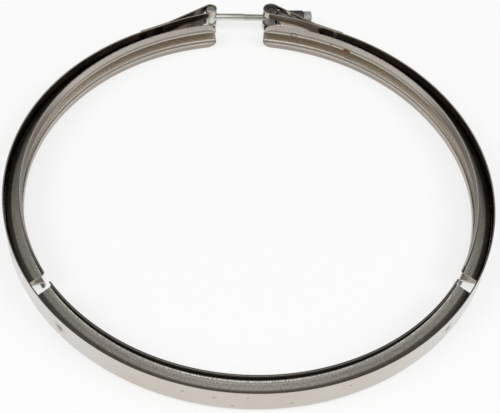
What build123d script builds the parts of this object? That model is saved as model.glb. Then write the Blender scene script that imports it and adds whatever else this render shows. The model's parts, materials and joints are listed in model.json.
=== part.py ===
from build123d import *
from math import acos, asin, atan2, cos, degrees, radians, sin, tan
import os

# Band clamp for a large exhaust joint. One folded strap pulls three V-shaped retainers
# onto the rims of two flanges. A T-bolt joins the strap's two looped ends.
# The ring's axis is Z, its middle plane is z = 0 and the bolt gap faces +Y.
# Azimuths are in degrees from +Y, counted towards -X. All sizes are in millimetres.

# Strap
strap_outer_r = 175.0
strap_thick = 1.0
strap_width = 19.0

# Retainer section, rolled from one strip
retainer_thick = 1.2
weld_gap = 0.05            # between a retainer's root and the strap that it is welded to
channel_depth = 11.55      # from the crests to the floor of the groove
root_half = 0.9            # half of the groove's floor
leg_angle = 15.0           # slope of each wall of the groove
crest_width = 3.2          # flat crest on each side, before its bends
foot_half = 12.1           # middle plane to the foot's free edge
foot_splay = 17.0          # how far each foot leans away from the ring's axis
crest_bend_r = 3.0
foot_bend_r = 2.5
root_bend_r = 1.0

# Where the retainers end
left_gap_azimuth = 7.2     # the left retainer's end at the bolt gap
right_gap_azimuth = 6.2    # the right one's, counted the other way
lower_gap_azimuth = 120.9
lower_gap_angle = 4.0
gap_corner_r = 8.0         # feet at the bolt gap
lower_corner_r = 2.0       # feet at the two lower gaps

# Looped ends of the strap
loop_spacing = 49.1        # from one loop's axis to the other's
bolt_line_rise = 8.8       # from the strap's outer radius to the line through both pins
run_leave_azimuth = 26.0   # where the strap leaves the ring for its loop
run_corner_azimuth = 15.0  # middle of the gentle bend on the way there
run_bend_r = 80.0
tail_land_azimuth = 19.5   # where the folded tail comes down on the strap
tail_end_azimuth = 27.3
pivot_clear = 0.08         # radial, between a pin and the loop round it
pin_inset = 0.5            # from the strap's edges to the ends of both pins

# T-bolt
shank_r = 3.0
thread_drop = 0.05         # radial, from the plain shank down to the thread's crests
thread_start = 27.0        # from the head's axis
head_r = 4.0
head_chamfer = 0.9
bolt_tip_chamfer = 0.7
bolt_past_nut = 0.5

# Trunnion in the other loop
trunnion_r = 5.5
trunnion_chamfer = 0.8
trunnion_hole_clear = 0.45
trunnion_flat_depth = 0.7  # cut off for the flat that the sleeve bears on
trunnion_dish_r = 3.3
trunnion_dish_depth = 1.6

# Spacer sleeve and nut on the bolt
sleeve_r = 6.0
sleeve_bore_clear = 0.3
sleeve_length = 21.5
sleeve_chamfer = 0.5
seat_gap = 0.2             # between the faces that bear on each other
nut_across_flats = 10.0
nut_height = 6.5
nut_chamfer_angle = 30.0
nut_face_inset = 0.3       # from the flats to the rim of the round bearing face
nut_bore_clear = 0.07
nut_countersink = 0.5

# Slots that let the bolt and the sleeve through the strap
slot_clear = 1.4           # each side of the bolt's shank
slot_past_pin = 2.6        # how far a slot runs on behind the pin
sleeve_slot_clear = 0.4
sleeve_slot_end_clear = 1.0

# Worked out from the sizes above
strap_inner_r = strap_outer_r - strap_thick
strap_mid_r = strap_outer_r - strap_thick / 2
tail_mid_r = strap_outer_r + strap_thick / 2
root_outer_r = strap_inner_r - weld_gap
root_inner_r = root_outer_r - retainer_thick
crest_r = root_inner_r - channel_depth
mouth_half = root_half + channel_depth * tan(radians(leg_angle))
loop_x = loop_spacing / 2
bolt_line_y = strap_outer_r + bolt_line_rise
pin_length = strap_width - 2 * pin_inset
thread_r = shank_r - thread_drop
slot_half = shank_r + slot_clear
trunnion_flat = trunnion_r - trunnion_flat_depth
bolt_start_x = -loop_x
sleeve_start_x = loop_x + trunnion_flat + seat_gap
nut_start_x = sleeve_start_x + sleeve_length + seat_gap
nut_end_x = nut_start_x + nut_height
bolt_end_x = nut_end_x + bolt_past_nut
sleeve_slot_half = sleeve_r + sleeve_slot_clear


def polar(radius, angle, centre=Vector(0, 0)):
    """Point at an angle counted from +X, about a centre."""
    return centre + Vector(radius * cos(radians(angle)), radius * sin(radians(angle)))


def retainer_section():
    """Half-open hat section: two splayed feet, two crests and the groove between them."""
    crest_end = mouth_half + crest_width
    foot_edge_r = crest_r + (foot_half - crest_end) * tan(radians(foot_splay))
    upper = [
        (root_inner_r, root_half),
        (crest_r, mouth_half),
        (crest_r, crest_end),
        (foot_edge_r, foot_half),
    ]
    lower = [(r, -z) for r, z in reversed(upper)]
    bends = [foot_bend_r, crest_bend_r, root_bend_r, root_bend_r, crest_bend_r, foot_bend_r]
    with BuildSketch(Plane.XZ) as section:
        with BuildLine():
            FilletPolyline(*lower, *upper, radius=bends)
            offset(amount=retainer_thick, side=Side.RIGHT)
        make_face()
    return section.sketch


def foot_corner(corner_r):
    """Cutter that rounds both feet at an end lying in the plane y = 0, metal at y > 0."""
    depth = 2 * channel_depth
    past = 1.0
    radial = crest_r + channel_depth / 2
    block = Box(depth, corner_r + past, corner_r + past)
    block = Pos(radial, (corner_r - past) / 2, foot_half + (past - corner_r) / 2) * block
    round_part = Rot(0, 90, 0) * Cylinder(corner_r, depth)
    cutter = block - Pos(radial, corner_r, foot_half - corner_r) * round_part
    return cutter + mirror(cutter, about=Plane.XY)


def retainer(start, end, start_corner_r, end_corner_r):
    """Retainer between two azimuths, its feet's corners rounded at each end."""
    span = end - start
    body = revolve(retainer_section(), axis=Axis.Z, revolution_arc=span)
    body -= foot_corner(start_corner_r)
    body -= Rot(0, 0, span) * mirror(foot_corner(end_corner_r), about=Plane.XZ)
    return Rot(0, 0, 90 + start) * body


def straight_strip(start, end):
    """Flat length of strap between two points of its middle line."""
    along = (end - start).normalized()
    side = Vector(-along.Y, along.X) * (strap_thick / 2)
    return make_face(Polyline(start + side, end + side, end - side, start - side, close=True))


def curved_strip(centre, mid_r, start_angle, end_angle):
    """Bent length of strap about a centre, its middle line at mid_r."""
    rims = [mid_r - strap_thick / 2, mid_r + strap_thick / 2]
    sweep = end_angle - start_angle
    arcs = [CenterArc(centre, rim, start_angle, sweep) for rim in rims]
    ends = [Line(polar(rims[0], angle, centre), polar(rims[1], angle, centre))
            for angle in (start_angle, end_angle)]
    return make_face([*arcs, *ends])


def loop_middle_r(pin_r):
    """Radius of the strap's middle line round a pin."""
    return pin_r + pivot_clear + strap_thick / 2


def lap_point(azimuth):
    """Middle of the left tail where it lies on the straight length of strap that leaves the ring."""
    away = strap_mid_r * tan(radians(run_leave_azimuth - azimuth))
    start = polar(tail_mid_r, 90 + run_leave_azimuth)
    return polar(away, run_leave_azimuth, start)


def tail_line(pin_r):
    """Straight part of the left tail: where it leaves its loop, and where it lands."""
    centre = Vector(-loop_x, bolt_line_y)
    land = lap_point(tail_land_azimuth)
    to_land = land - centre
    angle = degrees(atan2(to_land.Y, to_land.X)) % 360
    angle -= degrees(acos(loop_middle_r(pin_r) / to_land.length))
    return angle, polar(loop_middle_r(pin_r), angle, centre), land


def run_to_loop(pin_r):
    """Strap from the ring to its left loop: straight, gently bent, straight. Gives its last heading too."""
    centre = Vector(-loop_x, bolt_line_y)
    start = polar(strap_mid_r, 90 + run_leave_azimuth)
    away = strap_mid_r * tan(radians(run_leave_azimuth - run_corner_azimuth))
    corner = polar(away, run_leave_azimuth, start)
    to_loop = centre - corner
    heading = degrees(atan2(to_loop.Y, to_loop.X) - asin(loop_middle_r(pin_r) / to_loop.length))
    cut = run_bend_r * tan(radians(run_leave_azimuth - heading) / 2)
    bend_start = polar(-cut, run_leave_azimuth, corner)
    bend_centre = polar(-run_bend_r, 90 + run_leave_azimuth, bend_start)
    bend = curved_strip(bend_centre, run_bend_r, 90 + heading, 90 + run_leave_azimuth)
    arrive = polar(-loop_middle_r(pin_r), 90 + heading, centre)
    last = straight_strip(polar(cut, heading, corner), arrive)
    return straight_strip(start, bend_start) + bend + last, heading


def looped_end(pin_r):
    """Plan of the strap's left end about a pin, from where it leaves the ring."""
    centre = Vector(-loop_x, bolt_line_y)
    run, heading = run_to_loop(pin_r)
    tail_angle, leave, land = tail_line(pin_r)
    tail = straight_strip(leave, land) + straight_strip(land, lap_point(run_leave_azimuth))
    loop = curved_strip(centre, loop_middle_r(pin_r), heading - 90, tail_angle)
    lap = curved_strip(Vector(0, 0), tail_mid_r, 90 + run_leave_azimuth, 90 + tail_end_azimuth)
    return run + loop + tail + lap


def slot(length, half_width, depth):
    """Cutter punched along Y: flat end at x = 0, far end half round."""
    straight = length - half_width
    flat_part = Pos(straight / 2, 0, 0) * Box(straight, depth, 2 * half_width)
    return flat_part + Pos(straight, 0, 0) * Rot(90, 0, 0) * Cylinder(half_width, depth)


def pin_slot(pin_r):
    """Slot round the left loop, from in front of the pin to a little behind it, in run and tail."""
    loop_outer_r = loop_middle_r(pin_r) + strap_thick
    length = loop_outer_r + pin_r + slot_past_pin
    cutter = slot(length, slot_half, 4 * loop_outer_r)
    return Pos(loop_outer_r - loop_x, bolt_line_y, 0) * Rot(0, 0, 180) * cutter


def sleeve_slot():
    """Slot in the left tail, long enough for a sleeve that crosses it at a slant."""
    angle, leave, land = tail_line(trunnion_r)
    slant = radians(angle - 90)
    loop_r = loop_middle_r(trunnion_r)
    crossing = (loop_r + strap_thick / 2) / tan(slant) + sleeve_r / sin(slant)
    cutter = slot(crossing + sleeve_slot_end_clear, sleeve_slot_half, 4 * strap_thick)
    return Pos(leave.X, leave.Y, 0) * Rot(0, 0, 90 + angle) * cutter


def band():
    """Strap folded from one strip: ring, two slotted loops and the tails lapped back."""
    ring = curved_strip(Vector(0, 0), strap_mid_r, 90 + run_leave_azimuth, 450 - run_leave_azimuth)
    plan = looped_end(head_r) + ring + mirror(looped_end(trunnion_r), about=Plane.YZ)
    body = extrude(plan, amount=strap_width / 2, both=True)
    body -= pin_slot(head_r)
    return body - mirror(pin_slot(trunnion_r) + sleeve_slot(), about=Plane.YZ)


def along_x(x_start, radius, length):
    """Round bar along the bolt's line."""
    bar = Cylinder(radius, length, align=(Align.CENTER, Align.CENTER, Align.MIN))
    return Pos(x_start, bolt_line_y, 0) * Rot(0, 90, 0) * bar


def t_bolt():
    """Forged cross head and shank in one piece, thread drawn as a plain diameter."""
    head = chamfer(Cylinder(head_r, pin_length).edges(), head_chamfer)
    head = Pos(bolt_start_x, bolt_line_y, 0) * head
    shank = along_x(bolt_start_x, shank_r, thread_start)
    thread = along_x(bolt_start_x + thread_start, thread_r, bolt_end_x - bolt_start_x - thread_start)
    tip = thread.faces().sort_by(Axis.X)[-1]
    thread = chamfer(tip.edges(), bolt_tip_chamfer)
    return head + shank + thread


def trunnion():
    """Cross-drilled pin with a flat for the sleeve and a dished hollow in each end."""
    body = chamfer(Cylinder(trunnion_r, pin_length).edges(), trunnion_chamfer)
    flat = Box(2 * trunnion_flat_depth, 2 * trunnion_r, 2 * sleeve_slot_half)
    body -= Pos(trunnion_r, 0, 0) * flat
    dish = Cylinder(trunnion_dish_r, 2 * trunnion_dish_depth)
    body -= Pos(0, 0, pin_length / 2) * dish
    body -= Pos(0, 0, -pin_length / 2) * dish
    body = Pos(loop_x, bolt_line_y, 0) * body
    return body - along_x(0, shank_r + trunnion_hole_clear, 2 * loop_x)


def spacer_sleeve():
    """Plain tube between the trunnion and the nut."""
    tube = along_x(sleeve_start_x, sleeve_r, sleeve_length)
    tube = chamfer(tube.edges(), sleeve_chamfer)
    return tube - along_x(0, shank_r + sleeve_bore_clear, 2 * bolt_end_x)


def lock_nut():
    """Hexagon nut with two corners up and down, chamfered on both faces."""
    bore_r = thread_r + nut_bore_clear
    hexagon = RegularPolygon(nut_across_flats / 2, 6, major_radius=False)
    body = extrude(hexagon, amount=nut_height / 2, both=True)
    rise = tan(radians(nut_chamfer_angle))
    cone_height = nut_height / 2 + (nut_across_flats / 2 - nut_face_inset) * rise
    cone = Cone(cone_height / rise, 0.0, cone_height, align=(Align.CENTER, Align.CENTER, Align.MIN))
    body &= cone + mirror(cone, about=Plane.XY)
    body -= Cylinder(bore_r, nut_height)
    for side in (1, -1):
        sink = Cone(bore_r, bore_r + nut_countersink, nut_countersink)
        body -= Pos(0, 0, side * (nut_height - nut_countersink) / 2) * (Rot(90 - 90 * side, 0, 0) * sink)
    return Pos((nut_start_x + nut_end_x) / 2, bolt_line_y, 0) * (Rot(0, 90, 0) * body)


lower_start = lower_gap_azimuth - lower_gap_angle / 2
lower_end = lower_gap_azimuth + lower_gap_angle / 2
parts = {
    "band": band(),
    "retainer_left": retainer(left_gap_azimuth, lower_start, gap_corner_r, lower_corner_r),
    "retainer_front": retainer(lower_end, 360 - lower_end, lower_corner_r, lower_corner_r),
    "retainer_right": retainer(360 - lower_start, 360 - right_gap_azimuth, lower_corner_r, gap_corner_r),
    "t_bolt": t_bolt(),
    "trunnion": trunnion(),
    "spacer_sleeve": spacer_sleeve(),
    "lock_nut": lock_nut(),
}

os.makedirs("parts", exist_ok=True)
for name, shape in parts.items():
    solids = shape.solids()
    export_step(solids[0] if len(solids) == 1 else Compound(solids), f"parts/{name}.step")
    print(name, len(solids), "solids, volume", round(shape.volume, 1))
print("crest radius", round(crest_r, 3), "nut from", round(nut_start_x, 2), "bolt end", round(bolt_end_x, 2))
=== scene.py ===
import json
import math

import bmesh
import bpy
from mathutils import Matrix, Vector


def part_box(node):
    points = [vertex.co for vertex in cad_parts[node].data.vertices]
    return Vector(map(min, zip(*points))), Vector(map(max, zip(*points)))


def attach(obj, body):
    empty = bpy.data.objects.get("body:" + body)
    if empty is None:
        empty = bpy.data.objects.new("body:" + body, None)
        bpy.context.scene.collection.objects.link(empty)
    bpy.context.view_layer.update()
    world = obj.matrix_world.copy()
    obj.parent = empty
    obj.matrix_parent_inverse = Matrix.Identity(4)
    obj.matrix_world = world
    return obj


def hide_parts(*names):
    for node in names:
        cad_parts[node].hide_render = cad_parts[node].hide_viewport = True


# Band clamp for an exhaust joint: strap with two looped ends, three V retainers, T-bolt,
# trunnion, spacer sleeve and nut. Metres, in the part's own frame: +Z is the ring's axis
# and the bolt gap faces +Y. Azimuths are in degrees from +Y, counted towards -X.

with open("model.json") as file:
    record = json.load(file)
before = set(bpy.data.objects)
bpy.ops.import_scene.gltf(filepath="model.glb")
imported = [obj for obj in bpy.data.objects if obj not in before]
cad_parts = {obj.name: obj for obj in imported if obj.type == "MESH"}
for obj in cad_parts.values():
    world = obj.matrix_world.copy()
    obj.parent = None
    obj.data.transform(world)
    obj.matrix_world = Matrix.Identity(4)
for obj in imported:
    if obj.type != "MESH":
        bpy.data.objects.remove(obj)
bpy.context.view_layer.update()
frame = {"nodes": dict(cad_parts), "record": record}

MM = 0.001
UV_NAME = "strip"

# Strap
STRAP_OUTER_R = 175.0 * MM
STRAP_THICK = 1.0 * MM
STRAP_WIDTH = 19.0 * MM
STRAP_EDGE_R = 0.2 * MM
STRAP_MID_R = STRAP_OUTER_R - STRAP_THICK / 2
TAIL_MID_R = STRAP_OUTER_R + STRAP_THICK / 2
RUN_LEAVE_AZIMUTH = 26.0
RUN_CORNER_AZIMUTH = 15.0
RUN_BEND_R = 80.0 * MM
TAIL_LAND_AZIMUTH = 19.5
TAIL_END_AZIMUTH = 27.3

# Retainer section
SHEET_THICK = 1.2 * MM
SHEET_EDGE_R = 0.3 * MM
CREST_R = frame["record"]["mounts"][0]["dims"]["r_mm"] * MM
GROOVE_DEPTH = 11.55 * MM
ROOT_HALF = 0.9 * MM
LEG_SLOPE = math.tan(math.radians(15.0))
CREST_WIDTH = 3.2 * MM
CREST_BEND_Z = ROOT_HALF + GROOVE_DEPTH * LEG_SLOPE
CREST_TOP = CREST_BEND_Z + CREST_WIDTH
FOOT_HALF = 12.1 * MM
FOOT_SLOPE = math.tan(math.radians(17.0))
BEND_RADII = [2.5 * MM, 3.0 * MM, 1.0 * MM, 1.0 * MM, 3.0 * MM, 2.5 * MM]
# Depth below the crest from which a section is shortened where its corners are rounded
MOUTH_KEPT = 2.6 * MM
GAP_CORNER_R = 8.0 * MM
LOWER_CORNER_R = 2.0 * MM
# First and last azimuth of each retainer, and the radii of its feet's corners there
RETAINERS = {
    "retainer_left": (7.2, 118.9, GAP_CORNER_R, LOWER_CORNER_R),
    "retainer_front": (122.9, 237.1, LOWER_CORNER_R, LOWER_CORNER_R),
    "retainer_right": (241.1, 353.8, LOWER_CORNER_R, GAP_CORNER_R),
}

# Pins, bolt and slots
BOLT_Y = STRAP_OUTER_R + 8.8 * MM
LOOP_X = 24.55 * MM
PIN_CLEAR = 0.08 * MM
PIN_LENGTH = 18.0 * MM
HEAD_R = 4.0 * MM
HEAD_CHAMFER = 0.9 * MM
HEAD_EDGE_R = 0.15 * MM
SMALL_EDGE_R = 0.12 * MM
TRUNNION_R = 5.5 * MM
SHANK_R = 3.0 * MM
THREAD_START_X = 2.45 * MM
BOLT_END_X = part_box("t_bolt")[1].x
CREST_THREAD_R = 2.95 * MM
ROOT_THREAD_R = 2.39 * MM
PITCH = 1.0 * MM
CREST_FLAT = 1 / 8
ROOT_FLAT = 1 / 4
BOLT_TIP_CHAMFER = 0.7 * MM
SHANK_TAPER = 0.3 * MM
SHANK_STEP = 0.1 * MM
THREAD_OVERLAP = 0.2 * MM
SLOT_HALF = 4.4 * MM
SLOT_PAST_PIN = 2.6 * MM
SLEEVE_R = 6.0 * MM
SLEEVE_SLOT_HALF = 6.4 * MM
SLEEVE_SLOT_END_CLEAR = 1.0 * MM

# Marks. Spot welds are azimuth to radius, scratches are azimuth, height and stretch, and the
# others are azimuth, height, radius and stretch. Heights and radii are in millimetres.
WELDS = {24.7: 2.1, 109.4: 2.1, 132.4: 3.0, 226.2: 2.4, 250.6: 2.1, 335.3: 2.1}
WELD_STRETCH = 1.2
SCRATCHES = ((163.5, 2.0, 2.0), (170.2, 1.3, 2.5), (174.1, -6.0, 2.5), (177.1, 4.1, 1.4),
             (186.3, -3.8, 2.5), (199.0, 2.5, 2.0))
SCRATCH_R = 0.6
BURNS = ((-23.4, 5.0, 5.0, 1.9), (22.4, 5.5, 3.4, 1.3), (26.8, 5.5, 3.4, 1.3))
RUST = (-30.7, 5.2, 2.3, 1.7)
DENT = (-14.9, 6.6, 1.5, 1.7)
SPECK = (-25.9, 6.4, 0.8, 1.0)
RAGGED_SCALE = 900.0

# How the strap's colours fade along it
SPAN_FADE = 4.0 * MM
TAIL_FADE = 1.0 * MM
LOOP_MARGIN = 12.0 * MM

# Floor and light
FLOOR_HALF = 6.0
BACKDROP_LIFT = 0.72
HORIZON_LIGHT = 0.8
WALL_LIGHT = 0.02
CEILING_LIGHT = 0.5
FRONT_WINDOW = 1.3
FRONT_WALL = 0.22
SIDE_WINDOW = 0.8
LAMP_POWER = 26.0
LAMP_SIZE = 1.5
LAMP_SIDE = 1.7
LAMP_Y = -0.7
LAMP_HEIGHT = 1.8

# How finely curves are drawn
RING_STEP = 1.0
LOOP_STEP = 7.5
RUN_STEP = 2.0
BEND_STEP = 9.0
GUARD = 0.35 * MM
CORNER_STEPS = 12
ACROSS_STRAP = (-1, -0.97, -0.9, -0.5, 0, 0.5, 0.9, 0.97, 1)


# Lines and lofts

def turned(radius, angle, centre=Vector((0, 0))):
    """Point at an angle in degrees, counted from +X, about a centre."""
    a = math.radians(angle)
    return centre + Vector((math.cos(a), math.sin(a))) * radius


def arc_samples(centre, radius, start, end, step):
    """Points on an arc with the direction of travel at each, from one angle to another."""
    count = max(2, math.ceil(abs(end - start) / step))
    side = 1 if end > start else -1
    samples = []
    for i in range(count + 1):
        angle = start + (end - start) * i / count
        samples.append((turned(radius, angle, centre), turned(side, angle + 90)))
    return samples


def straight_samples(start, end):
    """A straight run with a point close to each end, which keeps the bends' shading out of it."""
    along = (end - start).normalized()
    guard = min(GUARD, (end - start).length / 3)
    return [(start + along * guard, along), (end - along * guard, along)]


def with_distances(samples):
    """Turns (point, direction) pairs into (distance, point, right-hand normal) along the line."""
    line = []
    distance = 0.0
    for i, (point, along) in enumerate(samples):
        if i:
            distance += (point - samples[i - 1][0]).length
        line.append((distance, point, Vector((along.y, -along.x))))
    return line


def bent_line(corners, radii):
    """Polyline with each inner corner rounded, as (distance, point, normal) samples."""
    corners = [Vector(c) for c in corners]
    samples = []
    leave = corners[0]
    first = (corners[1] - corners[0]).normalized()
    samples.append((leave, first))
    for before, corner, after, radius in zip(corners, corners[1:], corners[2:], radii):
        into = (corner - before).normalized()
        out = (after - corner).normalized()
        turn = math.degrees(into.angle_signed(out)) * -1
        cut = radius * math.tan(math.radians(abs(turn)) / 2)
        side = 1 if turn > 0 else -1
        centre = corner - into * cut + Vector((-into.y, into.x)) * radius * side
        heading = math.degrees(math.atan2(into.y, into.x))
        samples += straight_samples(leave, corner - into * cut)
        begin = heading - 90 * side
        samples += arc_samples(centre, radius, begin, begin + turn, BEND_STEP)
        leave = corner + out * cut
    last = (corners[-1] - leave).normalized()
    samples += straight_samples(leave, corners[-1])
    samples.append((corners[-1], last))
    return with_distances(samples)


def at_distance(line, distance):
    """Point and normal at a distance along a sampled line."""
    for (d0, p0, n0), (d1, p1, n1) in zip(line, line[1:]):
        if distance <= d1:
            share = max(0.0, (distance - d0) / max(d1 - d0, 1e-12))
            return p0.lerp(p1, share), n0.lerp(n1, share).normalized()
    return line[-1][1], line[-1][2]


def round_edge(end, thick, edge_r, towards):
    """Outline of a sheet's rounded edge as (distance along, depth) pairs, from face to face."""
    points = []
    for centre_depth, start in ((edge_r, -90), (thick - edge_r, 0)):
        for step in (0, 30, 60, 90):
            spot = turned(edge_r, start + step)
            points.append((end + towards * (spot.x - edge_r), centre_depth + spot.y))
    return points


def sheet_outline(line, distances, thick, edge_r):
    """Closed outline of an even sheet: one face, a rounded edge, the other face and edge."""
    start, end = distances[0], distances[-1]
    inner = [d for d in distances if start + edge_r < d < end - edge_r]
    outline = [(d, 0.0) for d in inner]
    outline += round_edge(end, thick, edge_r, 1)
    outline += [(d, thick) for d in reversed(inner)]
    outline += [(d, thick - depth) for d, depth in round_edge(start, thick, edge_r, -1)]
    placed = []
    for distance, depth in outline:
        point, normal = at_distance(line, distance)
        placed.append(point + normal * depth)
    return placed


def loft(name, rings, along, around):
    """Closed skin through rings of points, with a strip map in metres: along, then around."""
    count = len(rings[0])
    verts = [v for ring in rings for v in ring]
    faces = []
    maps = []
    for i in range(len(rings) - 1):
        for k in range(count):
            nxt = (k + 1) % count
            low, high = i * count, (i + 1) * count
            faces.append((low + k, low + nxt, high + nxt, high + k))
            a, b = along[i], along[i + 1]
            c, d = around[k], around[k + 1]
            maps.append(((a, c), (a, d), (b, d), (b, c)))
    for i, turn in ((0, -1), (len(rings) - 1, 1)):
        order = list(range(count))[::turn]
        faces.append([i * count + k for k in order])
        maps.append([(along[i], around[k]) for k in order])
    mesh = bpy.data.meshes.new(name)
    mesh.from_pydata(verts, [], faces)
    layer = mesh.uv_layers.new(name=UV_NAME)
    for polygon, corners in zip(mesh.polygons, maps):
        for loop, corner in zip(polygon.loop_indices, corners):
            layer.data[loop].uv = corner
    return mesh


def around_lengths(ring):
    """Length round a closed ring of points, at each point and back at the first."""
    lengths = [0.0]
    for a, b in zip(ring, ring[1:] + ring[:1]):
        lengths.append(lengths[-1] + (Vector(b) - Vector(a)).length)
    return lengths


def tidy(mesh, sharp_angle=40.0):
    """Points the faces outwards and shades the mesh smooth, apart from its sharp edges."""
    shape = bmesh.new()
    shape.from_mesh(mesh)
    bmesh.ops.recalc_face_normals(shape, faces=shape.faces)
    shape.to_mesh(mesh)
    shape.free()
    mesh.shade_smooth()
    mesh.set_sharp_from_angle(angle=math.radians(sharp_angle))
    return mesh


def piece(name, mesh, *materials):
    """Object at the origin that holds a mesh."""
    made = bpy.data.objects.new(name, mesh)
    bpy.context.scene.collection.objects.link(made)
    for material in materials:
        made.data.materials.append(material)
    return made


def applied(made):
    """Applies an object's modifiers, so that a plain mesh is left."""
    bpy.context.view_layer.update()
    graph = bpy.context.evaluated_depsgraph_get()
    mesh = bpy.data.meshes.new_from_object(
        made.evaluated_get(graph), preserve_all_data_layers=True, depsgraph=graph)
    made.modifiers.clear()
    old = made.data
    made.data = mesh
    bpy.data.meshes.remove(old)
    return made


def combine(made, other_meshes, operation):
    """Cuts meshes out of a piece, or joins them to it, leaving one skin."""
    others = []
    for i, mesh in enumerate(other_meshes):
        other = piece(f"{made.name}_tool_{i}", mesh)
        step = made.modifiers.new(other.name, "BOOLEAN")
        step.operation = operation
        step.solver = "EXACT"
        step.object = other
        others.append(other)
    applied(made)
    for other in others:
        mesh = other.data
        bpy.data.objects.remove(other)
        bpy.data.meshes.remove(mesh)
    return made


# Retainers

def retainer_line():
    """The face of the section that looks at the ring's axis, as (radius, height) samples."""
    edge_r = CREST_R + (FOOT_HALF - CREST_TOP) * FOOT_SLOPE
    root_r = CREST_R + GROOVE_DEPTH
    upper = [(root_r, ROOT_HALF), (CREST_R, CREST_BEND_Z), (CREST_R, CREST_TOP), (edge_r, FOOT_HALF)]
    lower = [(r, -z) for r, z in reversed(upper)]
    return bent_line(lower + upper, BEND_RADII)


def distance_at_height(line, height):
    """Distance along the section's upper half at which it reaches a height."""
    for (d0, p0, _), (d1, p1, _) in zip(line, line[1:]):
        if p0.y <= height <= p1.y and p1.y > 0:
            return d0 + (d1 - d0) * (height - p0.y) / max(p1.y - p0.y, 1e-12)
    return line[-1][0]


def shortened(line, fixed, top, edge_r):
    """Distances of the section's samples where its feet end short of the whole line."""
    full = line[-1][0]
    share = (top - edge_r - fixed) / (full - edge_r - fixed)
    upper = []
    for d, _, _ in line:
        if d > full / 2:
            upper.append(d if d <= fixed else fixed + (d - fixed) * share)
    upper[-1] = top
    return [full - d for d in reversed(upper)] + upper


def retainer_stations(start, end, start_corner_r, end_corner_r):
    """Azimuths of the sections, each with the height that the feet reach there."""
    stations = []
    for azimuth, corner_r, way in ((start, start_corner_r, 1), (end, end_corner_r, -1)):
        for i in range(CORNER_STEPS + 1):
            turn = math.radians(90.0 * i / CORNER_STEPS)
            back = corner_r * (1 - math.cos(turn))
            reach = FOOT_HALF - corner_r * (1 - math.sin(turn))
            stations.append((azimuth + way * math.degrees(back / CREST_R), reach))
    first = stations[CORNER_STEPS][0]
    last = stations[-1][0]
    count = math.ceil((last - first) / RING_STEP)
    stations += [(first + (last - first) * i / count, FOOT_HALF) for i in range(1, count)]
    return sorted(stations)


def retainer_mesh(name):
    line = retainer_line()
    fixed = distance_at_height(line, ROOT_HALF + (GROOVE_DEPTH - MOUTH_KEPT) * LEG_SLOPE)
    rings = []
    along = []
    for azimuth, reach in retainer_stations(*RETAINERS[name]):
        distances = shortened(line, fixed, distance_at_height(line, reach), SHEET_EDGE_R)
        placed = sheet_outline(line, distances, SHEET_THICK, SHEET_EDGE_R)
        rings.append([(*turned(p.x, 90 + azimuth), p.y) for p in placed])
        along.append(math.radians(azimuth) * CREST_R)
    return tidy(loft(name, rings, along, around_lengths(rings[len(rings) // 2])))


# Strap

def loop_middle_r(pin_r):
    """Radius of the strap's middle line round a pin."""
    return pin_r + PIN_CLEAR + STRAP_THICK / 2


def lap_point(azimuth):
    """Middle of the left tail where it lies on the straight strap that leaves the ring."""
    away = STRAP_MID_R * math.tan(math.radians(RUN_LEAVE_AZIMUTH - azimuth))
    return turned(away, RUN_LEAVE_AZIMUTH, turned(TAIL_MID_R, 90 + RUN_LEAVE_AZIMUTH))


def tail_line(pin_r):
    """Where a folded tail leaves its loop, as an angle and a point, and where it lands."""
    centre = Vector((-LOOP_X, BOLT_Y))
    land = lap_point(TAIL_LAND_AZIMUTH)
    to_land = land - centre
    angle = math.degrees(math.atan2(to_land.y, to_land.x)) % 360
    angle -= math.degrees(math.acos(loop_middle_r(pin_r) / to_land.length))
    return angle, turned(loop_middle_r(pin_r), angle, centre), land


def run_to_loop(pin_r):
    """Strap from the ring to its left loop, straight with one gentle bend, and its last heading."""
    centre = Vector((-LOOP_X, BOLT_Y))
    start = turned(STRAP_MID_R, 90 + RUN_LEAVE_AZIMUTH)
    away = STRAP_MID_R * math.tan(math.radians(RUN_LEAVE_AZIMUTH - RUN_CORNER_AZIMUTH))
    corner = turned(away, RUN_LEAVE_AZIMUTH, start)
    to_loop = centre - corner
    lean = math.asin(loop_middle_r(pin_r) / to_loop.length)
    heading = math.degrees(math.atan2(to_loop.y, to_loop.x) - lean)
    cut = RUN_BEND_R * math.tan(math.radians(RUN_LEAVE_AZIMUTH - heading) / 2)
    bend_start = turned(-cut, RUN_LEAVE_AZIMUTH, corner)
    bend_centre = turned(-RUN_BEND_R, 90 + RUN_LEAVE_AZIMUTH, bend_start)
    arrive = turned(-loop_middle_r(pin_r), 90 + heading, centre)
    samples = straight_samples(start, bend_start)
    samples += arc_samples(bend_centre, RUN_BEND_R, 90 + RUN_LEAVE_AZIMUTH, 90 + heading, RUN_STEP)
    samples += straight_samples(turned(cut, heading, corner), arrive)
    return samples, heading


def looped_end(pin_r):
    """Middle line of the strap's left end, from the ring to the end of its folded tail."""
    centre = Vector((-LOOP_X, BOLT_Y))
    samples, heading = run_to_loop(pin_r)
    angle, leave, land = tail_line(pin_r)
    samples += arc_samples(centre, loop_middle_r(pin_r), heading - 90, angle, LOOP_STEP)
    samples += straight_samples(leave, land)
    samples += straight_samples(land, lap_point(RUN_LEAVE_AZIMUTH))
    samples += arc_samples(Vector((0, 0)), TAIL_MID_R, 90 + RUN_LEAVE_AZIMUTH,
                           90 + TAIL_END_AZIMUTH, RING_STEP)
    return samples


def stadium(length, half, depth):
    """Slot cutter along +X: square end at the origin, round end at its length, depth along Y."""
    round_steps = 16
    outline = [(0.0, -half), (length - half, -half)]
    for i in range(1, round_steps):
        outline.append(tuple(turned(half, -90 + 180 * i / round_steps, Vector((length - half, 0)))))
    outline += [(length - half, half), (0.0, half)]
    rings = [[(x, y, z) for x, z in outline] for y in (-depth / 2, depth / 2)]
    return tidy(loft("slot", rings, [0.0, depth], around_lengths(rings[0])))


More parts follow.
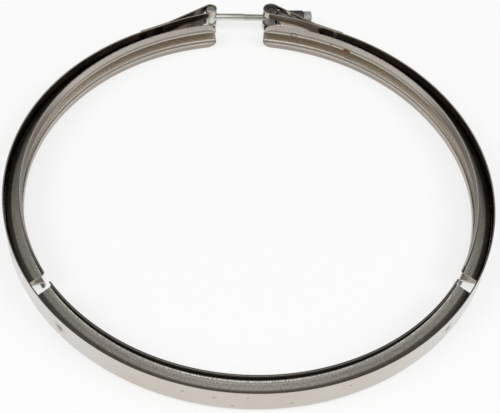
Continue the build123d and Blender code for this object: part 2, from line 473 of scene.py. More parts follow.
def placed_slot(mesh, x, y, angle, mirrored):
    """Turns a slot cutter about Z, moves it, and mirrors it to the right-hand end if asked."""
    place = Matrix.Translation((x, y, 0)) @ Matrix.Rotation(math.radians(angle), 4, "Z")
    if mirrored:
        place = Matrix.Scale(-1, 4, (1, 0, 0)) @ place
    mesh.transform(place)
    return tidy(mesh)


def pin_slot(pin_r, mirrored):
    outer = pin_r + PIN_CLEAR + STRAP_THICK
    mesh = stadium(outer + pin_r + SLOT_PAST_PIN + STRAP_THICK, SLOT_HALF, 4 * outer)
    return placed_slot(mesh, outer + STRAP_THICK - LOOP_X, BOLT_Y, 180, mirrored)


def sleeve_slot():
    angle, leave, _ = tail_line(TRUNNION_R)
    slant = math.radians(angle - 90)
    outer = loop_middle_r(TRUNNION_R) + STRAP_THICK / 2
    crossing = outer / math.tan(slant) + SLEEVE_R / math.sin(slant)
    mesh = stadium(crossing + SLEEVE_SLOT_END_CLEAR, SLEEVE_SLOT_HALF, 4 * STRAP_THICK)
    return placed_slot(mesh, leave.x, leave.y, 90 + angle, True)


def strap_mesh():
    """Ring, loops and folded tails as one strip with rounded edges."""
    samples = [(point, -way) for point, way in reversed(looped_end(HEAD_R))]
    samples += arc_samples(Vector((0, 0)), STRAP_MID_R, 90 + RUN_LEAVE_AZIMUTH,
                           450 - RUN_LEAVE_AZIMUTH, RING_STEP)
    for point, way in looped_end(TRUNNION_R):
        samples.append((Vector((-point.x, point.y)), Vector((-way.x, way.y))))
    line = with_distances(samples)
    across = with_distances([(Vector((h * STRAP_WIDTH / 2, 0)), Vector((1, 0)))
                             for h in ACROSS_STRAP])
    section = sheet_outline(across, [d for d, _, _ in across], STRAP_THICK, STRAP_EDGE_R)
    rings = []
    for _, point, normal in line:
        rings.append([(*(point + normal * -(p.y + STRAP_THICK / 2)), p.x) for p in section])
    return tidy(loft("band", rings, [d for d, _, _ in line], around_lengths(rings[0])))


# Bolt

def lathe(name, profile, axis_point, axis, steps=48):
    """Solid turned from (distance along the axis, radius) points."""
    axis = Vector(axis)
    side = axis.orthogonal().normalized()
    other = axis.cross(side)
    rings = []
    for distance, radius in profile:
        middle = Vector(axis_point) + axis * distance
        rings.append([])
        for i in range(steps):
            spot = turned(radius, 360 * i / steps)
            rings[-1].append(tuple(middle + side * spot.x + other * spot.y))
    along = [d for d, _ in profile]
    around = [math.tau * SHANK_R * i / steps for i in range(steps + 1)]
    return tidy(loft(name, rings, along, around), 55.0)


def pin_profile(length, radius, chamfer, edge_r):
    """Half outline of a chamfered pin, its corners eased."""
    half = length / 2
    rise = [(half, radius - chamfer - 2 * edge_r), (half, radius - chamfer - edge_r),
            (half - edge_r / 2, radius - chamfer), (half - chamfer, radius - edge_r / 2),
            (half - chamfer - edge_r, radius), (half - chamfer - 3 * edge_r, radius)]
    return [(-d, r) for d, r in rise] + [(d, r) for d, r in reversed(rise)]


# Node helpers

def socket(tree, name, kind, default, out=False):
    """Puts a named socket on a node group."""
    made = tree.interface.new_socket(name=name, in_out="OUTPUT" if out else "INPUT",
                                     socket_type=kind)
    if default is not None:
        made.default_value = default


def add(tree, kind, values=None, **settings):
    """Adds a node. Values go to inputs by name or number, or link another node's output."""
    made = tree.nodes.new(kind)
    for name, value in settings.items():
        setattr(made, name, value)
    for key, value in (values or {}).items():
        if isinstance(value, bpy.types.NodeSocket):
            tree.links.new(value, made.inputs[key])
        else:
            made.inputs[key].default_value = value
    return made


def sums(tree, operation, *values, **settings):
    """Math node's result."""
    return add(tree, "ShaderNodeMath", dict(enumerate(values)), operation=operation,
               **settings).outputs[0]


def plus(tree, a, b, **settings):
    return sums(tree, "ADD", a, b, **settings)


def minus(tree, a, b):
    return sums(tree, "SUBTRACT", a, b)


def over(tree, a, b, **settings):
    return sums(tree, "DIVIDE", a, b, **settings)


def times(tree, first, *others):
    """Product of several values."""
    for value in others:
        first = sums(tree, "MULTIPLY", first, value)
    return first


def most(tree, values):
    """Largest of several values."""
    result = values[0]
    for value in values[1:]:
        result = sums(tree, "MAXIMUM", result, value)
    return result


def size_of(tree, value):
    return sums(tree, "ABSOLUTE", value)


def ramp(tree, value, low, high, to_low=0.0, to_high=1.0, smooth=False):
    """Value spread from one range over another and held at its ends."""
    return add(tree, "ShaderNodeMapRange",
               {"Value": value, "From Min": low, "From Max": high, "To Min": to_low,
                "To Max": to_high},
               interpolation_type="SMOOTHSTEP" if smooth else "LINEAR").outputs[0]


def axes(tree, vector):
    """A vector's three parts."""
    return add(tree, "ShaderNodeSeparateXYZ", {0: vector}).outputs


# Thread

def thread_tree():
    """Geometry Nodes: rod along +X with a right-hand thread that fades in and ends in a chamfer."""
    tree = bpy.data.node_groups.new("rolled_thread", "GeometryNodeTree")
    socket(tree, "Geometry", "NodeSocketGeometry", None, out=True)
    for name, default in (("Start", 0.0), ("End", 0.03), ("Line Y", 0.0), ("Pitch", 0.001),
                          ("Crest Radius", 0.003), ("Root Radius", 0.0025), ("Lead In", 0.002),
                          ("Tip Chamfer", 0.0007)):
        socket(tree, name, "NodeSocketFloat", default)
    socket(tree, "Steps Round", "NodeSocketInt", 40)
    socket(tree, "Steps Per Pitch", "NodeSocketInt", 12)
    socket(tree, "Material", "NodeSocketMaterial", None)
    given = tree.nodes.new("NodeGroupInput").outputs
    length = minus(tree, given["End"], given["Start"])
    rings = times(tree, over(tree, length, given["Pitch"]), given["Steps Per Pitch"])
    rod = add(tree, "GeometryNodeMeshCylinder", {
        "Vertices": given["Steps Round"], "Side Segments": rings, "Radius": 1.0, "Depth": length})
    place = axes(tree, add(tree, "GeometryNodeInputPosition").outputs[0])
    distance = plus(tree, place["Z"], times(tree, length, 0.5))
    angle = sums(tree, "ARCTAN2", place["Y"], place["X"])
    turns = minus(tree, over(tree, distance, given["Pitch"]), over(tree, angle, math.tau))
    off_crest = size_of(tree, minus(tree, sums(tree, "FRACT", turns), 0.5))
    groove = ramp(tree, off_crest, CREST_FLAT / 2, (1 - ROOT_FLAT) / 2)
    fade = ramp(tree, distance, 0.0, given["Lead In"])
    depth = minus(tree, given["Crest Radius"], given["Root Radius"])
    left = minus(tree, length, distance)
    tip = plus(tree, minus(tree, given["Crest Radius"], given["Tip Chamfer"]), left)
    cut = minus(tree, given["Crest Radius"], times(tree, depth, groove, fade))
    radius = sums(tree, "MINIMUM", cut, tip)
    moved = add(tree, "ShaderNodeCombineXYZ", {
        "X": plus(tree, given["Start"], distance),
        "Y": plus(tree, given["Line Y"], times(tree, radius, place["X"])),
        "Z": times(tree, radius, place["Y"])}).outputs[0]
    shaped = add(tree, "GeometryNodeSetPosition", {
        "Geometry": rod.outputs["Mesh"], "Position": moved}).outputs[0]
    real = add(tree, "GeometryNodeRealizeInstances", {0: shaped}).outputs[0]
    finished = add(tree, "GeometryNodeSetMaterial", {
        "Geometry": real, "Material": given["Material"]}).outputs[0]
    add(tree, "NodeGroupOutput", {0: finished})
    return tree


def grown(name, tree, values):
    """Plain mesh that a Geometry Nodes tree makes with the given inputs."""
    holder = piece(name, bpy.data.meshes.new(name))
    grow = holder.modifiers.new("grow", "NODES")
    grow.node_group = tree
    for item in tree.interface.items_tree:
        if item.in_out == "INPUT" and item.name in values:
            grow[item.identifier] = values[item.name]
    applied(holder)
    mesh = holder.data
    bpy.data.objects.remove(holder)
    return mesh


# Shader node groups that the finishes share

def shader_group(name, inputs, outputs):
    """Empty shader group with float inputs. Gives its tree, its inputs and what sets its outputs."""
    tree = bpy.data.node_groups.new(name, "ShaderNodeTree")
    for label, default in inputs.items():
        socket(tree, label, "NodeSocketFloat", default)
    for label in outputs:
        socket(tree, label, "NodeSocketFloat", None, out=True)
    given = tree.nodes.new("NodeGroupInput").outputs

    def finish(**results):
        add(tree, "NodeGroupOutput", results)
        return tree
    return tree, given, finish


def object_place(tree):
    """Point on the piece, in the part's own frame."""
    return add(tree, "ShaderNodeTexCoord").outputs["Object"]


def strip_place(tree):
    """Distance along a rolled strip as X and round its section as Y."""
    return axes(tree, add(tree, "ShaderNodeUVMap", uv_map=UV_NAME).outputs[0])


def strip_lines_group():
    """Streaks on a rolled strip, by their counts per metre along it and across it."""
    tree, given, finish = shader_group(
        "strip lines", {"Along": 10.0, "Across": 3000.0, "Contrast": 1.0}, ["Lines"])
    flat = strip_place(tree)
    stretched = add(tree, "ShaderNodeCombineXYZ", {
        "X": times(tree, flat["X"], given["Along"]),
        "Y": times(tree, flat["Y"], given["Across"])}).outputs[0]
    noise = add(tree, "ShaderNodeTexNoise", {
        "Vector": stretched, "Scale": 1.0, "Detail": 3.0, "Roughness": 0.65}).outputs[0]
    spread = times(tree, minus(tree, noise, 0.5), given["Contrast"])
    return finish(Lines=plus(tree, spread, 0.5, use_clamp=True))


def patches_group():
    """Soft patches over the whole piece, as handling and heat leave them, and mottling for painted
    shade.
    """
    tree, given, finish = shader_group(
        "patches", {"Scale": 30.0, "Low": 0.4, "High": 0.6}, ["Patches"])
    noise = add(tree, "ShaderNodeTexNoise", {
        "Vector": object_place(tree), "Scale": given["Scale"], "Detail": 4.0,
        "Roughness": 0.6}).outputs[0]
    return finish(Patches=ramp(tree, noise, given["Low"], given["High"], smooth=True))


def ring_spot_group():
    """Ragged round mark on the ring: its disc, its rim and a wider halo."""
    tree, given, finish = shader_group(
        "ring spot",
        {"Azimuth": 0.0, "Height": 0.0, "Ring Radius": 0.17, "Radius": 0.002, "Stretch": 1.0},
        ["Disc", "Rim", "Halo"])
    spot = axes(tree, object_place(tree))
    azimuth = sums(tree, "ARCTAN2", times(tree, spot["X"], -1.0), spot["Y"])
    off = minus(tree, azimuth, sums(tree, "RADIANS", given["Azimuth"]))
    wrapped = sums(tree, "WRAP", off, math.pi, -math.pi)
    arc = over(tree, times(tree, wrapped, given["Ring Radius"]), given["Stretch"])
    rise = minus(tree, spot["Z"], given["Height"])
    away = sums(tree, "SQRT", plus(tree, times(tree, arc, arc), times(tree, rise, rise)))
    ragged = add(tree, "ShaderNodeTexNoise", {
        "Vector": object_place(tree), "Scale": RAGGED_SCALE, "Detail": 2.0}).outputs[0]
    jitter = times(tree, minus(tree, ragged, 0.5), 0.5)
    reach = plus(tree, over(tree, away, given["Radius"]), jitter)
    return finish(Disc=ramp(tree, reach, 1.0, 0.8, smooth=True),
                  Rim=ramp(tree, size_of(tree, minus(tree, reach, 1.0)), 0.25, 0.0, smooth=True),
                  Halo=ramp(tree, reach, 2.6, 0.8, smooth=True))


def strip_band_group():
    """Soft stripe along a rolled strip, at a place counted round its section."""
    tree, given, finish = shader_group(
        "strip band", {"Middle": 0.0, "Half Width": 0.001, "Softness": 0.0005}, ["Band"])
    off = size_of(tree, minus(tree, strip_place(tree)["Y"], given["Middle"]))
    inner = minus(tree, given["Half Width"], given["Softness"])
    outer = plus(tree, given["Half Width"], given["Softness"])
    return finish(Band=ramp(tree, off, outer, inner, smooth=True))


def strip_span_group():
    """Length of a rolled strip from one distance along it to another."""
    tree, given, finish = shader_group(
        "strip span", {"Start": 0.0, "End": 0.01, "Softness": 0.001}, ["Span"])
    along = strip_place(tree)["X"]
    past = over(tree, minus(tree, along, given["Start"]), given["Softness"], use_clamp=True)
    short = over(tree, minus(tree, given["End"], along), given["Softness"], use_clamp=True)
    return finish(Span=times(tree, past, short))


def ring_place_group():
    """Where a point lies on the ring: masks for its two sides and for its back."""
    tree, given, finish = shader_group(
        "ring place", {"Side From": 0.7, "Side To": 0.95}, ["Side", "Back"])
    place = axes(tree, object_place(tree))
    squares = plus(tree, times(tree, place["X"], place["X"]), times(tree, place["Y"], place["Y"]))
    radius = sums(tree, "SQRT", squares)
    share = over(tree, size_of(tree, place["X"]), radius)
    depth = over(tree, place["Y"], radius)
    return finish(Side=ramp(tree, share, given["Side From"], given["Side To"], smooth=True),
                  Back=ramp(tree, depth, -0.6, 0.3, smooth=True))


RING_PLACE = ring_place_group()
STRIP_LINES = strip_lines_group()
STRIP_BAND = strip_band_group()
STRIP_SPAN = strip_span_group()
PATCHES = patches_group()
RING_SPOT = ring_spot_group()


# Materials

def grouped(tree, group, **values):
    """Places a shared group in a material with its own values."""
    return add(tree, "ShaderNodeGroup", {k.replace("_", " "): v for k, v in values.items()},
               node_tree=group).outputs


def blended(tree, share, low, high):
    """Colour between two others, by a share from 0 to 1."""
    made = add(tree, "ShaderNodeMix", data_type="RGBA")
    for slot_name, value in (("Factor_Float", share), ("A_Color", low), ("B_Color", high)):
        target = next(s for s in made.inputs if s.identifier == slot_name)
        if isinstance(value, bpy.types.NodeSocket):
            tree.links.new(value, target)
        else:
            target.default_value = value if slot_name == "Factor_Float" else (*value, 1.0)
    return next(s for s in made.outputs if s.identifier == "Result_Color")


def painted(tree, base, layers):
    """Lays colours over a base one after another, each by its mask and strength."""
    for mask, strength, colour in layers:
        base = blended(tree, times(tree, mask, strength), base, colour)
    return base


def scaled(tree, value, low, high):
    """A value from 0 to 1 spread over another range."""
    return ramp(tree, value, 0.0, 1.0, low, high)


def metal(name, viewport_colour):
    """Material with a plain metallic shader, its tree and the shader."""
    made = bpy.data.materials.new(name)
    made.use_nodes = True
    made.diffuse_color = (*viewport_colour, 1.0)
    shader = made.node_tree.nodes["Principled BSDF"]
    shader.inputs["Metallic"].default_value = 1.0
    return made, made.node_tree, shader


def feed(tree, shader, colour, roughness, height, bump_depth):
    """Links a finish's colour, roughness and relief to its shader."""
    tree.links.new(colour, shader.inputs["Base Color"])
    tree.links.new(roughness, shader.inputs["Roughness"])
    relief = add(tree, "ShaderNodeBump", {
        "Height": height, "Distance": bump_depth, "Strength": 1.0})
    tree.links.new(relief.outputs[0], shader.inputs["Normal"])


def lines_on(tree, along, across, contrast):
    return grouped(tree, STRIP_LINES, Along=along, Across=across, Contrast=contrast)["Lines"]


def patches_on(tree, scale, low, high):
    return grouped(tree, PATCHES, Scale=scale, Low=low, High=high)["Patches"]


def ring_mark(tree, ring_r, azimuth, height, radius, stretch):
    """Round mark on the ring. Its height and radius are in millimetres."""
    return grouped(tree, RING_SPOT, Azimuth=azimuth, Height=height * MM, Ring_Radius=ring_r,
                   Radius=radius * MM, Stretch=stretch)


def band_between(tree, start, end, softness):
    """Stripe from one distance round the section to another."""
    return grouped(tree, STRIP_BAND, Middle=(start + end) / 2, Half_Width=abs(end - start) / 2,
                   Softness=softness)["Band"]


def span_between(tree, start, end, softness):
    """Length of a strip from one distance along it to another."""
    return grouped(tree, STRIP_SPAN, Start=start, End=end, Softness=softness)["Span"]


def round_section(points, spot):
    """Distance round a section's outline to the point nearest to a spot."""
    lengths = around_lengths([(p.x, p.y) for p in points])
    nearest = min(range(len(points)), key=lambda i: (points[i] - Vector(spot)).length)
    return lengths[nearest]


def length_of(samples):
    """Length of a line of (point, direction) samples."""
    return with_distances(samples)[-1][0]


def strap_spans(tree):
    """Masks for the ring with the left run, for the right run and for the left tail."""
    left_end = length_of(looped_end(HEAD_R))
    tail_end = left_end - length_of(run_to_loop(HEAD_R)[0])
    ring_end = left_end + math.radians(360 - 2 * RUN_LEAVE_AZIMUTH) * STRAP_MID_R
    run_end = ring_end + length_of(run_to_loop(TRUNNION_R)[0])
    return (span_between(tree, tail_end, ring_end + SPAN_FADE, SPAN_FADE),
            span_between(tree, ring_end, run_end, SPAN_FADE),
            span_between(tree, -TAIL_FADE, tail_end - LOOP_MARGIN, TAIL_FADE))


def strap_steel():
    """Bright rolled strip: lengthwise lines, straw patches, weld marks and a brown inner face that
    is painted shade, with painted light and shade on its sides, right run, left tail and upper edge.
    """
    made, tree, shader = metal("strap steel", (0.6, 0.58, 0.54))
    lines = lines_on(tree, 9.0, 2600.0, 1.3)
    haze = patches_on(tree, 22.0, 0.35, 0.7)
    warmth = patches_on(tree, 9.0, 0.4, 0.62)
    # Mottle for the painted shade on the inner face
    shade_mottle = patches_on(tree, 60.0, 0.4, 0.6)
    welds = [ring_mark(tree, STRAP_OUTER_R, a, 0.0, r, WELD_STRETCH) for a, r in WELDS.items()]
    disc, rim, halo = (most(tree, [w[part] for w in welds]) for part in ("Disc", "Rim", "Halo"))
    scratches = most(tree, [ring_mark(tree, STRAP_OUTER_R, a, h, SCRATCH_R, stretch)["Disc"]
                            for a, h, stretch in SCRATCHES])
    burns = most(tree, [ring_mark(tree, STRAP_OUTER_R, *burn)["Disc"] for burn in BURNS])
    inner_end = STRAP_WIDTH - 2 * STRAP_EDGE_R
    edge_end = inner_end + STRAP_THICK + (math.pi - 3) * STRAP_EDGE_R
    upper_edge = band_between(tree, inner_end, edge_end, 0.15 * MM)
    inner_face = band_between(tree, -1.0 * MM, inner_end, 0.1 * MM)
    on_ring, on_run, on_tail = strap_spans(tree)
    burnt = times(tree, burns, inner_face, most(tree, [on_ring, on_run]))
    # Painted shade on the left tail, apart from its inner face and upper edge
    left_tail_shade = times(tree, on_tail, minus(tree, 1.0, most(tree, [inner_face, upper_edge])))
    place = grouped(tree, RING_PLACE, Side_From=0.35, Side_To=0.8)
    # Painted highlight along the strap's upper edge at the back of the ring
    back_edge_highlight = times(tree, upper_edge, place["Back"])
    brown = blended(tree, shade_mottle, (0.035, 0.025, 0.018), (0.17, 0.105, 0.055))
    base = painted(tree, blended(tree, warmth, (0.6, 0.56, 0.5), (0.57, 0.505, 0.43)), [
        # Painted reflection: the strap lighter and greyer at the sides of the ring
        (place["Side"], 1.0, (0.68, 0.67, 0.65)),
        # Painted shade: the inner face along the ring and the left run is painted dark brown
        (times(tree, inner_face, on_ring), 0.88, brown),
        # Painted shade: the left tail painted near black
        (left_tail_shade, 0.85, (0.05, 0.035, 0.025)),
        # Painted reflection: the right run's inner face painted light beige
        (times(tree, inner_face, on_run), 1.0, (0.92, 0.83, 0.73)),
        (burnt, 0.92, (0.025, 0.016, 0.01)),
        # Painted shade along the strap's upper edge at the front and sides, painted highlight along
        # it at the back
        (minus(tree, upper_edge, back_edge_highlight), 0.75, (0.06, 0.045, 0.03)),
        (back_edge_highlight, 0.8, (0.85, 0.78, 0.7)),
        (scratches, 0.6, (0.12, 0.08, 0.05)),
        (halo, 0.35, (0.5, 0.4, 0.33)),
        (disc, 0.75, (0.34, 0.27, 0.25))])
    roughness = plus(tree, scaled(tree, lines, 0.14, 0.22), scaled(tree, haze, 0.0, 0.08))
    roughness = plus(tree, roughness, times(tree, disc, 0.2))
    height = minus(tree, times(tree, lines, 0.03), times(tree, disc, 0.5))
    height = plus(tree, height, times(tree, rim, 0.25))
    feed(tree, shader, base, roughness, height, 0.1 * MM)
    return made


def retainer_steel():
    """Roll-formed sheet: grain across it from forming, dark lines of painted shade in its bends, a
    little rust, and more painted light and shade on its legs, feet, groove and rim.
    """
    made, tree, shader = metal("retainer steel", (0.5, 0.48, 0.45))
    line = retainer_line()
    section = sheet_outline(line, [d for d, _, _ in line], SHEET_THICK, SHEET_EDGE_R)
    outer_r = CREST_R + SHEET_THICK
    rim_r = CREST_R + (FOOT_HALF - CREST_TOP) * FOOT_SLOPE
    low_rim, low_foot, low_crest, crest, foot, rim = (round_section(section, spot) for spot in (
        (CREST_R, -FOOT_HALF), (CREST_R, -CREST_TOP), (CREST_R, -CREST_BEND_Z),
        (CREST_R, CREST_BEND_Z), (CREST_R, CREST_TOP), (rim_r, FOOT_HALF)))
    # Painted shade: dark lines in the bends from the crests to the feet, inside
    upper_bend_shade = band_between(tree, foot - 0.5 * MM, foot + 0.9 * MM, 0.7 * MM)
    lower_bend_shade = band_between(tree, low_foot - 1.6 * MM, low_foot + 0.2 * MM, 0.8 * MM)
    groove_light = band_between(tree, low_crest + 1.0 * MM, crest - 1.0 * MM, 1.0 * MM)
    upper_foot_shade = band_between(tree, crest, rim - 0.5 * MM, 0.3 * MM)
    lower_foot_shade = band_between(tree, low_rim + 0.3 * MM, low_foot - 0.8 * MM, 0.4 * MM)
    rim_edge = band_between(tree, rim - 0.1 * MM, rim + 0.9 * MM, 0.3 * MM)
    inner_side = band_between(tree, low_rim - 1.0 * MM, rim, 1.0 * MM)
    feet, legs, root_shades, sheens, glints = [], [], [], [], []
    for way in (1, -1):
        top_at, foot_at, bend_at, root_at = (round_section(section, (r, way * z)) for r, z in (
            (rim_r + SHEET_THICK, FOOT_HALF - 0.6 * MM), (outer_r, CREST_BEND_Z + 1.1 * MM),
            (outer_r + 1.4 * MM, CREST_BEND_Z + 0.2 * MM),
            (CREST_R + GROOVE_DEPTH, ROOT_HALF + SHEET_THICK)))
        feet.append(band_between(tree, top_at, foot_at, 0.5 * MM))
        glints.append(band_between(tree, bend_at - 2.2 * MM, bend_at + 1.8 * MM, 2.0 * MM))
        legs.append(band_between(tree, bend_at, root_at, 1.0 * MM))
        root_shades.append(band_between(tree, root_at - way * 3.6 * MM, root_at + way * 1.0 * MM,
                                  0.5 * MM))
        sheens.append(band_between(tree, root_at - way * 6.2 * MM, root_at - way * 4.2 * MM,
                                   0.7 * MM))
    grain = lines_on(tree, 1500.0, 420.0, 2.8)
    lines = lines_on(tree, 14.0, 1300.0, 2.2)
    haze = patches_on(tree, 26.0, 0.35, 0.65)
    place = grouped(tree, RING_PLACE, Side_From=0.78, Side_To=0.97)
    far_side = grouped(tree, RING_PLACE, Side_From=0.86, Side_To=1.0)["Side"]
    rust, dent, speck = (ring_mark(tree, CREST_R, *mark) for mark in (RUST, DENT, SPECK))
    rusted = times(tree, rust["Disc"], inner_side)
    grit = times(tree, scaled(tree, grain, 0.75, 0.0),
                 minus(tree, 1.0, times(tree, inner_side, 0.65)))
    # Painted light and shade: the legs' outer faces dark at the front and back of the ring, light at
    # its sides
    leg_light_and_shade = blended(tree, far_side, (0.4, 0.38, 0.345), (0.85, 0.81, 0.74))
    rim_light_and_shade = blended(tree, place["Back"], (0.1, 0.09, 0.08), (0.8, 0.78, 0.74))
    base = painted(tree, blended(tree, haze, (0.6, 0.555, 0.5), (0.64, 0.575, 0.5)), [
        # Painted light: the groove facing the axis painted lighter than the sheet
        (groove_light, 1.0, (0.87, 0.8, 0.71)),
        (most(tree, legs), 1.0, leg_light_and_shade),
        (most(tree, sheens), 0.6, (0.8, 0.77, 0.7)),
        # Painted shade on the legs next to their roots, by the strap
        (most(tree, root_shades), 0.88, (0.02, 0.016, 0.012)),
        (most(tree, glints), 1.0, (0.98, 0.96, 0.9)),
        (grit, 1.0, (0.2, 0.18, 0.155)),
        (scaled(tree, lines, 0.3, 0.0), 1.0, (0.25, 0.22, 0.19)),
        # Painted shade in the bends from the crests to the feet
        (upper_bend_shade, 0.62, (0.09, 0.07, 0.05)),
        (lower_bend_shade, 0.4, (0.12, 0.09, 0.06)),
        # Painted shade: the lower foot's inner face darkened
        (lower_foot_shade, 0.42, (0.14, 0.11, 0.08)),
        # Painted shade: the upper crest and foot's inner face dark at the sides of the ring
        (times(tree, place["Side"], upper_foot_shade), 0.8, (0.07, 0.055, 0.045)),
        # Painted shade: the outer faces of the feet and crests painted near black
        (most(tree, feet), 0.8, (0.02, 0.016, 0.012)),
        # Painted light and shade: the feet's top edge dark at the front of the ring, light at the
        # back
        (rim_edge, 1.0, rim_light_and_shade),
        (times(tree, dent["Rim"], inner_side), 1.0, (0.06, 0.045, 0.03)),
        (times(tree, speck["Disc"], inner_side), 1.0, (0.08, 0.05, 0.03)),
        (rusted, 1.0, (0.2, 0.06, 0.02))])
    roughness = plus(tree, scaled(tree, grain, 0.34, 0.2), scaled(tree, haze, 0.0, 0.06))
    roughness = plus(tree, roughness, times(tree, rusted, 0.3))
    height = plus(tree, times(tree, grain, 0.3), times(tree, lines, 0.12))
    height = plus(tree, height, times(tree, dent["Disc"], 1.5))
    feed(tree, shader, base, roughness, height, 0.05 * MM)
    return made


def zinc(name, light, dark, rough):
    """Dull zinc plating with a faint mottle."""
    made, tree, shader = metal(name, light)
    mottle = patches_on(tree, 420.0, 0.3, 0.7)
    broad = patches_on(tree, 70.0, 0.35, 0.7)
    shade = plus(tree, times(tree, mottle, 0.4), times(tree, broad, 0.6))
    base = blended(tree, shade, light, dark)
    feed(tree, shader, base, scaled(tree, shade, rough, rough + 0.14), mottle, 0.008 * MM)
    return made


strap_metal = strap_steel()
retainer_metal = retainer_steel()
bolt_metal = zinc("bolt zinc", (0.84, 0.86, 0.8), (0.62, 0.64, 0.58), 0.26)
trunnion_metal = zinc("trunnion steel", (0.3, 0.3, 0.28), (0.15, 0.15, 0.14), 0.3)
sleeve_metal = zinc("sleeve steel", (0.22, 0.215, 0.2), (0.11, 0.105, 0.1), 0.32)
nut_metal = zinc("nut zinc", (0.5, 0.51, 0.49), (0.3, 0.31, 0.3), 0.3)


# Pieces

def stands_for(made, node, body):
    """Puts a dressed piece in a node's place, on its body."""
    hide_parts(node)
    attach(made, body)


def eased_copy(name, node, edge_r, material):
    """Copy of a node's mesh with its doubles merged and its sharp edges eased."""
    mesh = frame["nodes"][node].data.copy()
    shape = bmesh.new()
    shape.from_mesh(mesh)
    bmesh.ops.remove_doubles(shape, verts=shape.verts, dist=1e-6)
    bmesh.ops.dissolve_limit(shape, angle_limit=math.radians(1.0), verts=shape.verts,
                             edges=shape.edges)
    shape.to_mesh(mesh)
    shape.free()
    mesh.materials.clear()
    made = piece(name, mesh, material)
    ease = made.modifiers.new("ease", "BEVEL")
    ease.width = edge_r
    ease.segments = 2
    ease.limit_method = "ANGLE"
    ease.angle_limit = math.radians(25.0)
    applied(made)
    tidy(made.data)
    return made


for node_name in RETAINERS:
    sheet = piece(f"{node_name}_sheet", retainer_mesh(node_name), retainer_metal)
    stands_for(sheet, node_name, "ring")

strap = piece("strap", strap_mesh(), strap_metal)
combine(strap, [pin_slot(HEAD_R, False), pin_slot(TRUNNION_R, True), sleeve_slot()], "DIFFERENCE")
tidy(strap.data)
stands_for(strap, "band", "ring")

head_line = (-LOOP_X, BOLT_Y, 0)
head_profile = pin_profile(PIN_LENGTH, HEAD_R, HEAD_CHAMFER, HEAD_EDGE_R)
bolt = piece("bolt", lathe("bolt", head_profile, head_line, (0, 0, 1)), bolt_metal)
shank_end = LOOP_X + THREAD_START_X
shank = lathe("shank", [(0.0, SHANK_R), (shank_end - SHANK_TAPER, SHANK_R),
                        (shank_end, CREST_THREAD_R - SHANK_STEP)], head_line, (1, 0, 0))
thread = grown("thread", thread_tree(), {
    "Start": THREAD_START_X - THREAD_OVERLAP, "End": BOLT_END_X, "Line Y": BOLT_Y, "Pitch": PITCH,
    "Crest Radius": CREST_THREAD_R, "Root Radius": ROOT_THREAD_R, "Lead In": 2 * PITCH,
    "Tip Chamfer": BOLT_TIP_CHAMFER, "Steps Round": 40, "Steps Per Pitch": 12,
    "Material": bolt_metal})
combine(bolt, [shank, thread], "UNION")
tidy(bolt.data)
stands_for(bolt, "t_bolt", "bolt")

for node_name, body, material, slot_name in (
        ("trunnion", "trunnion", trunnion_metal, "trunnion_steel"),
        ("spacer_sleeve", "sleeve", sleeve_metal, "sleeve_steel"),
        ("lock_nut", "nut", nut_metal, "nut_zinc")):
    eased = eased_copy(f"{node_name}_eased", node_name, SMALL_EDGE_R, material)
    stands_for(eased, node_name, body)


# Floor, light and camera

def floor_material():
    """Pale floor. The camera sees it lifted towards white, with the shadows kept."""
    made = bpy.data.materials.new("floor")
    made.use_nodes = True
    tree = made.node_tree
    shader = tree.nodes["Principled BSDF"]
    shader.inputs["Base Color"].default_value = (0.9, 0.9, 0.9, 1.0)
    shader.inputs["Roughness"].default_value = 0.9
    shader.inputs["Specular IOR Level"].default_value = 0.0
    glow = add(tree, "ShaderNodeEmission", {"Color": (1.0, 1.0, 1.0, 1.0), "Strength": 1.0})
    path = add(tree, "ShaderNodeLightPath").outputs
    seen = most(tree, [path["Is Camera Ray"], path["Is Glossy Ray"], path["Is Transmission Ray"]])
    mixed = add(tree, "ShaderNodeMixShader", {
        0: times(tree, seen, BACKDROP_LIFT), 1: shader.outputs[0], 2: glow.outputs[0]})
    tree.links.new(mixed.outputs[0], tree.nodes["Material Output"].inputs["Surface"])
    return made


def between(tree, value, low, high, softness):
    """Soft mask of the values that lie between two limits."""
    up = ramp(tree, value, low - softness, low + softness, smooth=True)
    down = ramp(tree, value, high + softness, high - softness, smooth=True)
    return times(tree, up, down)


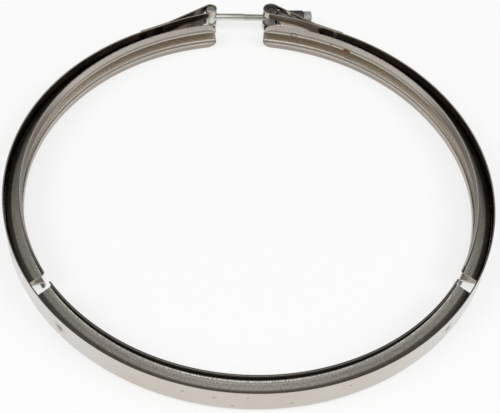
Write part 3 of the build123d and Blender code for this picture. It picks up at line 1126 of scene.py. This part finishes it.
def room():
    """Room round the object: pale at the floor's level, dim above it, with soft windows."""
    world = bpy.data.worlds.new("studio")
    bpy.context.scene.world = world
    world.use_nodes = True
    tree = world.node_tree
    way = axes(tree, add(tree, "ShaderNodeTexCoord").outputs["Generated"])
    level = sums(tree, "SQRT", minus(tree, 1.0001, times(tree, way["Z"], way["Z"])))
    front = over(tree, times(tree, way["Y"], -1.0), level)
    left = over(tree, times(tree, way["X"], -1.0), level)
    right = times(tree, left, -1.0)
    wall = ramp(tree, way["Z"], 0.35, 1.0, WALL_LIGHT, CEILING_LIGHT)
    horizon = times(tree, between(tree, way["Z"], -2.0, 0.08, 0.04), HORIZON_LIGHT)
    light = most(tree, [wall, horizon])
    # Windows: side, lowest and highest level, reach towards the side, strength
    for side, low, high, reach, strength in (
            (front, 0.87, 0.985, 0.5, FRONT_WINDOW), (front, 0.1, 0.8, 0.4, FRONT_WALL),
            (left, 0.45, 0.78, 0.9, SIDE_WINDOW), (right, 0.45, 0.78, 0.9, SIDE_WINDOW)):
        height = between(tree, way["Z"], low, high, 0.04)
        width = between(tree, side, reach, 2.0, 0.08)
        light = plus(tree, light, times(tree, height, width, strength))
    background = tree.nodes["Background"]
    tree.links.new(light, background.inputs["Strength"])
    background.inputs["Color"].default_value = (1.0, 0.985, 0.96, 1.0)


def studio():
    """Pale floor in a dim room with soft windows, and soft lamps for the floor."""
    mesh = bpy.data.meshes.new("floor")
    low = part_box("retainer_front")[0].z
    corners = [(x * FLOOR_HALF, y * FLOOR_HALF, low)
               for x, y in ((-1, -1), (1, -1), (1, 1), (-1, 1))]
    mesh.from_pydata(corners, [], [(0, 1, 2, 3)])
    piece("floor", mesh, floor_material())
    room()
    for name, side in (("left", -1), ("right", 1)):
        lamp = bpy.data.lights.new(name, "AREA")
        lamp.shape = "SQUARE"
        lamp.size = LAMP_SIZE
        lamp.energy = LAMP_POWER
        holder = bpy.data.objects.new(name, lamp)
        bpy.context.scene.collection.objects.link(holder)
        holder.location = (side * LAMP_SIDE, LAMP_Y, LAMP_HEIGHT)
        holder.rotation_euler = Vector(holder.location).to_track_quat("Z", "Y").to_euler()
        holder.visible_camera = False
        holder.visible_glossy = False


def camera():
    """Camera at the photograph's viewing angle."""
    distance = 0.875
    elevation = math.radians(49.62)
    azimuth = math.radians(-5.63)
    roll = math.radians(4.317)
    focal_px = 1215.2
    frame_px = 500
    target = Vector((-0.60, -16.04, 0.0)) * MM
    level = math.cos(elevation)
    place = Vector((level * math.sin(azimuth), -level * math.cos(azimuth),
                    math.sin(elevation))) * distance
    forward = (target - place).normalized()
    right = forward.cross(Vector((0, 0, 1))).normalized()
    up = right.cross(forward)
    rolled_right = right * math.cos(roll) + up * math.sin(roll)
    rolled_up = up * math.cos(roll) - right * math.sin(roll)
    data = bpy.data.cameras.new("camera")
    data.sensor_fit = "HORIZONTAL"
    data.sensor_width = 36.0
    data.lens = focal_px / frame_px * data.sensor_width
    data.clip_start = 0.01
    made = bpy.data.objects.new("camera", data)
    bpy.context.scene.collection.objects.link(made)
    turn = Matrix((rolled_right, rolled_up, -forward)).transposed().to_4x4()
    made.matrix_world = Matrix.Translation(place) @ turn
    bpy.context.scene.camera = made


studio()
camera()
bpy.context.scene.view_settings.view_transform = "Standard"
